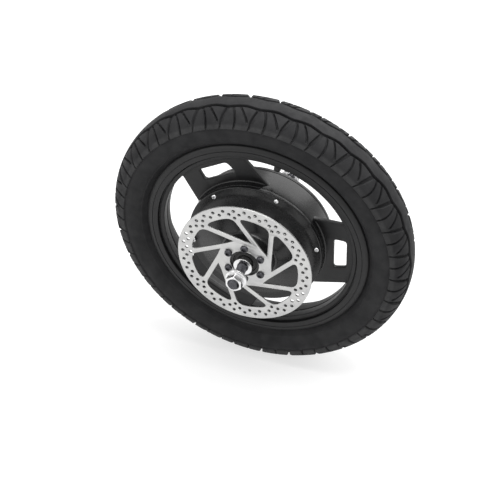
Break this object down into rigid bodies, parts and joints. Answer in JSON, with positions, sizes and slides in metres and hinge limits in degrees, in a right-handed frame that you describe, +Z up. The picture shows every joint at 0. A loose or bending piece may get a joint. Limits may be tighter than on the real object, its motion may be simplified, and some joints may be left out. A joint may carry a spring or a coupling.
{
  "type": "hub motor wheel",
  "caption": "Small electric bike wheel: cast three-spoke alloy wheel with a hub motor in its drum, fat tyre, pierced brake disc and a nutted axle that the frame's dropouts clamp.",
  "frame": {"origin": "centre of the wheel, on the axle's axis in the tyre's middle plane", "axes": "+Y along the axle away from the brake disc, +Z up as the wheel stands, +X to the right seen from the disc's side"},
  "size_m": [0.36, 0.212, 0.36],
  "materials": {
    "tyre_rubber": "moulded matt black rubber",
    "seal_rubber": "smooth black rubber",
    "black_alloy": "satin black paint on cast alloy",
    "disc_steel": "brushed stainless steel",
    "steel": "turned steel",
    "zinc": "bright zinc plate",
    "dark_steel": "black oxide",
    "bare_alloy": "machined alloy",
    "copper": "varnished copper wire",
    "laminations": "stacked electrical steel",
    "circuit_board": "green solder mask",
    "black_plastic": "moulded black plastic"
  },
  "bodies": {
    "axle": {"axle": "steel", "cable_gland": "seal_rubber", "left_axle_sleeve": "zinc", "right_axle_sleeve": "zinc", "left_axle_washer": "zinc", "right_axle_washer": "zinc", "left_axle_nut": "zinc", "right_axle_nut": "zinc", "stator_spider": "bare_alloy", "stator_core": "laminations", "stator_winding": "copper", "hall_sensor_board": "circuit_board", "left_bearing_inner_race": "steel", "right_bearing_inner_race": "steel"},
    "wheel": {"wheel_casting": "black_alloy", "tyre": "tyre_rubber", "valve_stem": "seal_rubber", "valve_cap": "black_plastic", "magnet_ring": "dark_steel", "left_cover": "black_alloy", "right_cover": "black_alloy", "left_seal": "seal_rubber", "right_seal": "seal_rubber", "brake_disc": "disc_steel", "disc_bolt_1": "dark_steel", "disc_bolt_2": "dark_steel", "disc_bolt_3": "dark_steel", "disc_bolt_4": "dark_steel", "disc_bolt_5": "dark_steel", "disc_bolt_6": "dark_steel", "left_cover_screw_1": "zinc", "left_cover_screw_2": "zinc", "left_cover_screw_3": "zinc", "left_cover_screw_4": "zinc", "left_cover_screw_5": "zinc", "left_cover_screw_6": "zinc", "right_cover_screw_1": "zinc", "right_cover_screw_2": "zinc", "right_cover_screw_3": "zinc", "right_cover_screw_4": "zinc", "right_cover_screw_5": "zinc", "right_cover_screw_6": "zinc", "left_bearing_outer_race": "steel", "right_bearing_outer_race": "steel"},
    "left_cage": {"left_ball_cage": "bare_alloy"},
    "right_cage": {"right_ball_cage": "bare_alloy"}
  },
  "joints": [
    {"name": "wheel_spin", "type": "hinge", "parent": "axle", "child": "wheel", "pos_m": [0, 0, 0], "axis": [0, 1, 0], "continuous": true},
    {"name": "left_cage_spin", "type": "hinge", "parent": "axle", "child": "left_cage", "pos_m": [0, -0.046, 0], "axis": [0, 1, 0], "continuous": true},
    {"name": "right_cage_spin", "type": "hinge", "parent": "axle", "child": "right_cage", "pos_m": [0, 0.029, 0], "axis": [0, 1, 0], "continuous": true}
  ],
  "couplings": [
    {"joint": "left_cage_spin", "follows": "wheel_spin", "ratio": 0.5769},
    {"joint": "right_cage_spin", "follows": "wheel_spin", "ratio": 0.5769}
  ]
}
